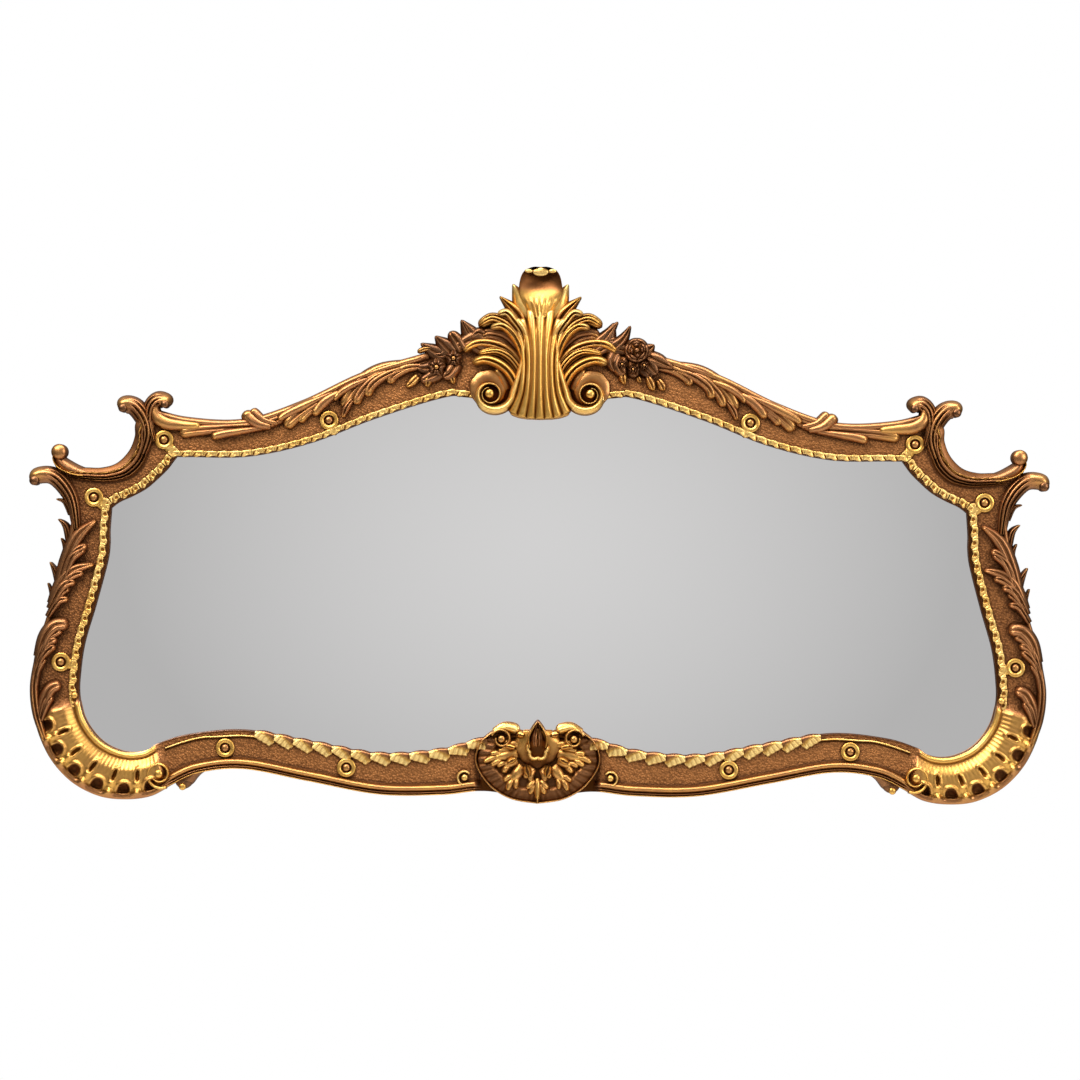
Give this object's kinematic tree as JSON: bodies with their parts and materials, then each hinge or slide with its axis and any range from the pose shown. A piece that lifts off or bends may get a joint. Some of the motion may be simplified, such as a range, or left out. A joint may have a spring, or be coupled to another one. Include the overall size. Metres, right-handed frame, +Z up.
{
  "type": "wall mirror",
  "caption": "Wide wall mirror in a carved and gilded rococo frame with a leaf crest, horned upper corners, shell lower corners and a cartouche at the foot.",
  "frame": {"origin": "on the wall plane, at the middle of the width and of the plan's height, on the back of the backing board", "axes": "+Z up, +X to the right seen from the front, -Y out of the glass into the room, +Y into the wall"},
  "size_m": [1.5, 0.0506, 0.7892],
  "materials": {
    "gilding": "carved wood, gilded, with a worn bronze-brown patina on the ground",
    "silvered_glass": "silvered plate glass",
    "board": "bare board",
    "steel": "zinc plated"
  },
  "bodies": {
    "root": {"frame": "gilding", "mirror_glass": "silvered_glass", "backing_board": "board", "hanger_left": "steel", "hanger_right": "steel", "hanger_screw_left_1": "steel", "hanger_screw_left_2": "steel", "hanger_screw_right_1": "steel", "hanger_screw_right_2": "steel"}
  },
  "joints": []
}
